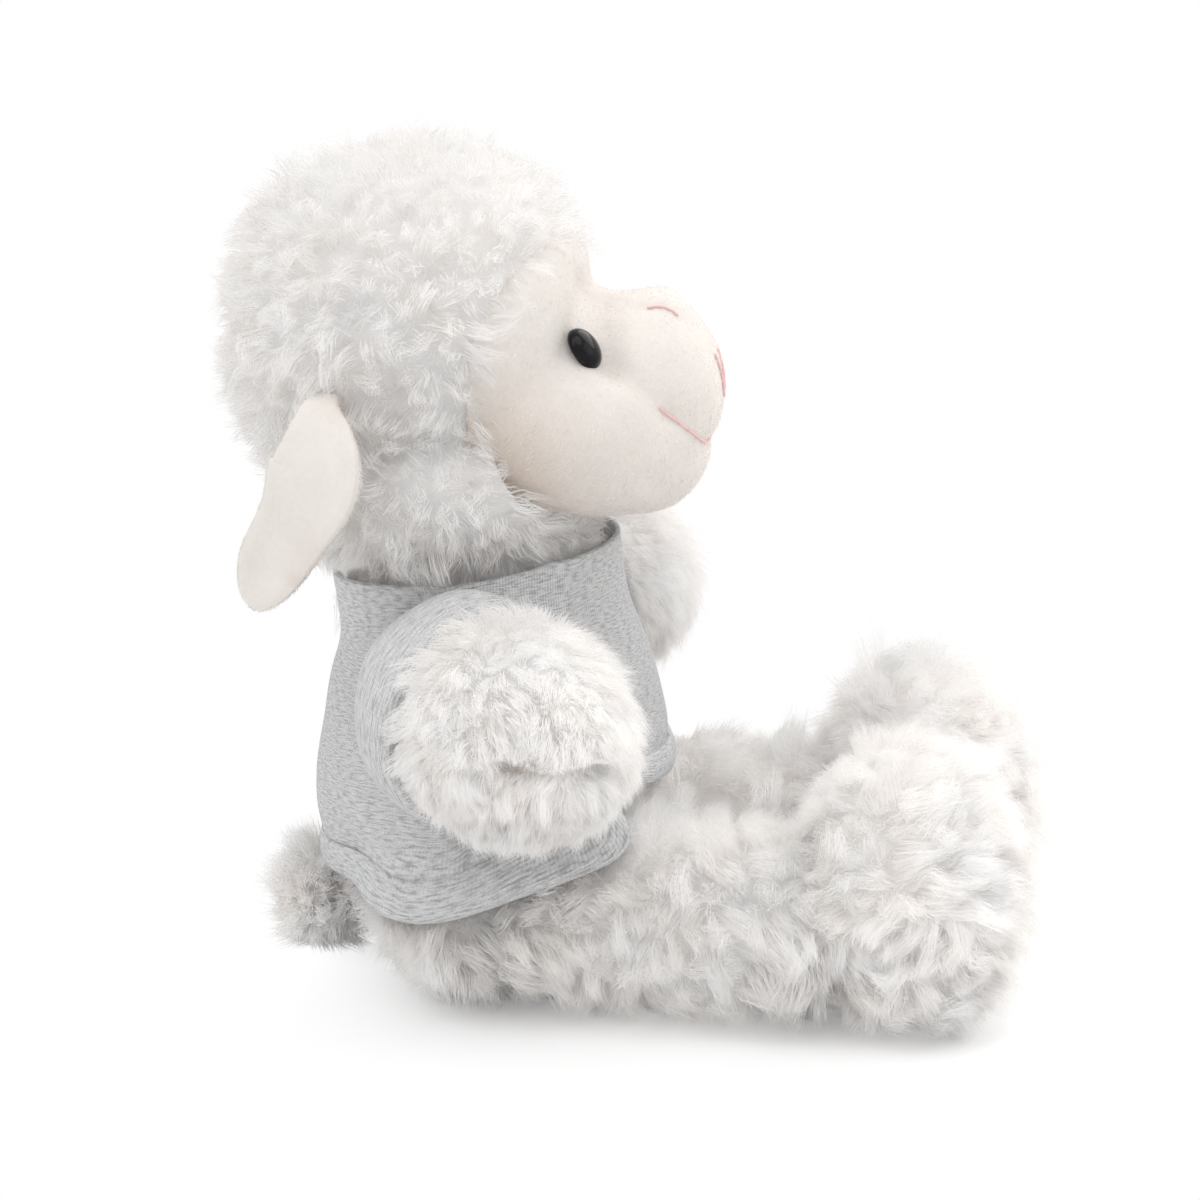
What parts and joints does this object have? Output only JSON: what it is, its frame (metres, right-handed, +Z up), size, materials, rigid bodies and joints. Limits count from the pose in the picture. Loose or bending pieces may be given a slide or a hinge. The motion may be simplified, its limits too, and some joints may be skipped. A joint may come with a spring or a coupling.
{
  "type": "plush lamb in a T-shirt",
  "caption": "Seated white plush lamb with a cream short-pile face, hanging ears, stitched pink nose and mouth, and a plain heather-grey T-shirt.",
  "frame": {"origin": "on the floor under the torso, in the plane of symmetry, in the middle of the seat's flat", "axes": "+Z up, -Y the way the lamb faces, -X its right side"},
  "size_m": [0.177, 0.1949, 0.2013],
  "materials": {
    "white_fur": "curled white pile",
    "short_pile": "short cream pile",
    "grey_jersey": "heather-grey knit",
    "filling": "loose fibre",
    "bead_bag_cloth": "plain woven bag",
    "eye_black": "polished black",
    "washer_white": "moulded",
    "pink_thread": "satin stitched thread"
  },
  "bodies": {
    "torso": {"body_fur": "white_fur", "body_stuffing": "filling", "bean_bag": "bead_bag_cloth", "tee_front": "grey_jersey", "tee_back": "grey_jersey", "tee_hem": "grey_jersey"},
    "head": {"head_wool": "white_fur", "muzzle_panel": "short_pile", "chin_panel": "short_pile", "right_cheek_panel": "short_pile", "left_cheek_panel": "short_pile", "head_stuffing": "filling", "right_eye": "eye_black", "left_eye": "eye_black", "right_eye_washer": "washer_white", "left_eye_washer": "washer_white", "right_nostril_stitch": "pink_thread", "left_nostril_stitch": "pink_thread", "nose_stitch": "pink_thread", "mouth_stitch": "pink_thread"},
    "right_ear": {"right_ear_lining": "short_pile", "right_ear_outer": "short_pile"},
    "left_ear": {"left_ear_lining": "short_pile", "left_ear_outer": "short_pile"},
    "right_arm": {"right_arm_fur": "white_fur", "right_arm_stuffing": "filling", "tee_right_sleeve": "grey_jersey"},
    "left_arm": {"left_arm_fur": "white_fur", "left_arm_stuffing": "filling", "tee_left_sleeve": "grey_jersey"},
    "right_leg": {"right_leg_fur": "white_fur", "right_foot_fur": "white_fur", "right_leg_stuffing": "filling"},
    "left_leg": {"left_leg_fur": "white_fur", "left_foot_fur": "white_fur", "left_leg_stuffing": "filling"},
    "tail": {"tail": "white_fur"}
  },
  "joints": [
    {"name": "head_turn", "type": "hinge", "parent": "torso", "child": "head", "pos_m": [0, 0, 0.096], "axis": [0, 0, 1], "range_deg": [-25, 25], "stiffness_Nm_per_rad": 0.05},
    {"name": "right_ear_lift", "type": "hinge", "parent": "head", "child": "right_ear", "pos_m": [-0.04245, 0.024, 0.145], "axis": [0, 1, 0], "range_deg": [0, 50]},
    {"name": "left_ear_lift", "type": "hinge", "parent": "head", "child": "left_ear", "pos_m": [0.04245, 0.024, 0.145], "axis": [0, -1, 0], "range_deg": [0, 50]},
    {"name": "right_arm_raise", "type": "hinge", "parent": "torso", "child": "right_arm", "pos_m": [-0.049, -0.006, 0.075], "axis": [-0.7071, 0.7071, 0], "range_deg": [-15, 25], "stiffness_Nm_per_rad": 0.15},
    {"name": "left_arm_raise", "type": "hinge", "parent": "torso", "child": "left_arm", "pos_m": [0.049, -0.006, 0.075], "axis": [-0.7071, -0.7071, 0], "range_deg": [-15, 25], "stiffness_Nm_per_rad": 0.15},
    {"name": "right_leg_swing", "type": "hinge", "parent": "torso", "child": "right_leg", "pos_m": [-0.03, -0.002, 0.0235], "axis": [1, 0, 0], "range_deg": [0, 60], "stiffness_Nm_per_rad": 0.08},
    {"name": "left_leg_swing", "type": "hinge", "parent": "torso", "child": "left_leg", "pos_m": [0.03, -0.002, 0.0235], "axis": [1, 0, 0], "range_deg": [0, 60], "stiffness_Nm_per_rad": 0.08},
    {"name": "tail_wag", "type": "hinge", "parent": "torso", "child": "tail", "pos_m": [0, 0.0355, 0.0135], "axis": [0, 0, 1], "range_deg": [-15, 15], "stiffness_Nm_per_rad": 0.01}
  ]
}
